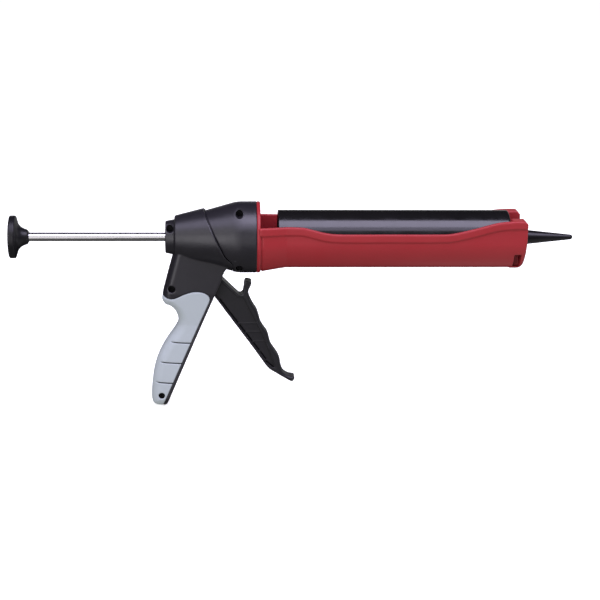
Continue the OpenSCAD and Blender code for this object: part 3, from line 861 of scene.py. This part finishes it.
def build_turned():
    x0, x1 = in_mm("knob")[0][0], in_mm("knob")[1][0]
    rim = x0 + KNOB_RIM
    outline = rounded([(x0, 0), (x0, KNOB_R), (rim, KNOB_R), (rim + 0.3, KNOB_R - 0.9)], [0, 1.3, 0.9, 0])
    outline += curve([(x0 + d, r) for d, r in KNOB_FACE], 6)
    seat = x1 - ROD_IN_KNOB
    outline += [(x1, ROD_R + 0.4), (x1, ROD_R), (seat, ROD_R), (seat, 0)]
    stands_for(lathe("knob_head", outline, 160), "knob")

    low, high = in_mm("push_rod")
    outline = rounded(
        [(low[0], 0), (low[0], ROD_R), (STUB_X, ROD_R), (STUB_X, STUB_R), (high[0], STUB_R), (high[0], 0)],
        [0, 0.5, 0.4, 0, 0.6, 0],
    )
    stands_for(lathe("push_rod_bar", outline, 96), "push_rod")

    inner = TUBE_R - TUBE_WALL
    front, floor = TUBE_X1 + OUTLET_LENGTH, TUBE_X1 - TUBE_FLOOR
    outline = rounded(
        [
            (TUBE_X0, inner), (TUBE_X0, TUBE_R), (TUBE_X1, TUBE_R), (TUBE_X1, OUTLET_R), (front, OUTLET_R),
            (front, OUTLET_BORE), (floor, OUTLET_BORE), (floor, inner),
        ],
        [0.3, 0.5, 1.9, 0.3, 0.5, 0.3, 0.3, 0.5], 6,
    )
    stands_for(lathe("cartridge_body", outline, 192), "cartridge_tube")


# Node, coil radius, wire radius, turns, and the bodies at the back end and the front end
SPRINGS = [
    ("drive_spring", 6.6, 0.8, 5, ("drive", "housing")),
    ("lock_spring", 6, 0.6, 3, ("housing", "lock")),
]


def build_springs():
    """Coiled springs in place of the CAD's spring nodes."""
    for node, radius, wire, turns, (back_body, front_body) in SPRINGS:
        low, high = in_mm(node)
        piece = coil(node + "_wire", low[0] + wire, high[0] - wire, radius, wire, turns)
        piece.data.materials.append(MATERIALS[SLOT_OF[node]])
        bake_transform(piece)
        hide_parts(node)


# --- Stage, light and camera ---

FLOOR_GAP = 0.2
STAGE_REACH = 9000


def build_stage():
    """A pale floor with walls of the same colour far around it."""
    floor_z = cad_low[2] / MM - FLOOR_GAP
    reach = STAGE_REACH
    corners = [(-reach, -reach), (reach, -reach), (reach, reach), (-reach, reach)]
    points = [(x, y, floor_z) for x, y in corners] + [(x, y, reach) for x, y in corners]
    walls = [(i, (i + 1) % 4, (i + 1) % 4 + 4, i + 4) for i in range(4)]
    floor = link("floor", points, [(0, 1, 2, 3)] + walls, smooth=False)
    material, _, shader = nodes_of("pale_floor")
    shader.inputs["Base Color"].default_value = (0.92, 0.92, 0.92, 1)
    shader.inputs["Roughness"].default_value = 0.9
    shader.inputs["Specular IOR Level"].default_value = 0.1
    shader.inputs["Emission Color"].default_value = (1, 1, 1, 1)
    shader.inputs["Emission Strength"].default_value = 0.5
    floor.data.materials.append(material)
    floor.visible_glossy = False
    floor.visible_diffuse = False
    floor.visible_shadow = False


def softbox(name, place, aim, size, radiance, colour, glossy):
    """A rectangular soft light, as bright as the radiance says whatever its size."""
    data = bpy.data.lights.new(name, "AREA")
    data.shape = "RECTANGLE"
    data.size, data.size_y = size
    data.energy = radiance * math.pi * size[0] * size[1]
    data.color = colour
    light = bpy.data.objects.new(name, data)
    light.location = place
    light.rotation_mode = "QUATERNION"
    light.rotation_quaternion = (Vector(aim) - Vector(place)).to_track_quat("-Z", "Y")
    light.visible_camera = False
    light.visible_glossy = glossy
    bpy.context.scene.collection.objects.link(light)


COOL, PLAIN, WHITE = (0.79, 0.74, 1.0), (0.98, 0.95, 1.0), (1, 1, 1)
WORLD_STRENGTH = 0.58
# Each light's place, the point it faces, its width and height, its radiance and its colour
SOFTBOXES = [
    ("overhead", (0.64, -0.53, 1.3), (0.64, -0.531, 0), (1.72, 0.88), 6.6, COOL),
    ("overhead_left", (-0.81, -0.5, 1.3), (-0.81, -0.501, 0), (1.18, 0.94), 3.2, COOL),
    ("upper_strip", (0.5, -1.11, 1.13), (0.5, 0, -0.02), (2.0, 0.34), 3.1, COOL),
    ("lower_strip", (-0.555, -1.43, 0.98), (-0.555, 0, -0.02), (1.29, 0.32), 1.3, WHITE),
    ("lower_right", (0.875, -1.43, 0.98), (0.875, 0, -0.02), (1.45, 0.32), 0.2, WHITE),
    ("front", (-0.55, -1.7, 0.15), (-0.55, 0, 0.15), (2.0, 1.2), 0.85, PLAIN),
    ("front_left", (-1.05, -1.5, 0.1), (-0.05, 0, 0), (0.95, 0.95), 2.1, PLAIN),
    ("upper_left", (-1.2, -1.0, 0.95), (-0.05, 0, 0), (0.9, 0.7), 1.5, PLAIN),
    ("low_left", (-0.62, -1.5, -0.64), (-0.1, 0, -0.1), (0.8, 0.4), 0.95, PLAIN),
    ("right", (1.7, 0.6, -0.1), (0.1, -0.02, -0.02), (1.2, 1.0), 1.2, WHITE),
    ("under", (0.78, -0.3, -0.5), (0.78, -0.301, 0), (1.2, 1.2), 0.45, WHITE),
    ("under_left", (-0.3, -0.3, -0.5), (-0.3, -0.301, 0), (0.9, 1.2), 0.1, WHITE),
    ("back", (0.2, 1.5, 0.9), (0.1, -0.02, -0.02), (2.0, 0.7), 1.0, WHITE),
    ("back_low", (0.1, 1.6, 0.15), (0.1, 0, 0.15), (3.0, 0.7), 0.4, WHITE),
]


def build_light():
    """A bright box overhead that fades to the front and the left, a front card, and faint cards around."""
    world = bpy.data.worlds.new("studio")
    world.use_nodes = True
    world.node_tree.nodes["Background"].inputs["Color"].default_value = (1, 1, 1, 1)
    world.node_tree.nodes["Background"].inputs["Strength"].default_value = WORLD_STRENGTH
    bpy.context.scene.world = world
    world.cycles_visibility.glossy = False
    for name, *values in SOFTBOXES:
        softbox(name, *values, glossy=name != "back")
    bpy.context.scene.view_settings.view_transform = "Standard"


def build_camera():
    """Looks at the gun's side nearly square on, from a little above."""
    azimuth, elevation, roll = math.radians(-3), math.radians(15.4), math.radians(0.7)
    distance, lens = 1.55, 100.2
    aim = Vector((40.9, -0.1, -60.1)) * MM
    level = math.cos(elevation)
    back = Vector((math.sin(azimuth) * level, -math.cos(azimuth) * level, math.sin(elevation)))
    right = Vector((math.cos(azimuth), math.sin(azimuth), 0))
    up = back.cross(right)
    right = right * math.cos(roll) + up * math.sin(roll)
    up = back.cross(right)
    data = bpy.data.cameras.new("camera")
    data.lens = lens
    camera = bpy.data.objects.new("camera", data)
    turn = Matrix((right, up, back)).transposed().to_4x4()
    camera.matrix_world = Matrix.Translation(aim + back * distance) @ turn
    bpy.context.scene.collection.objects.link(camera)
    bpy.context.scene.camera = camera


build_camera()
finish_cad_nodes()
build_moulded()
build_turned()
build_springs()
build_stage()
build_light()
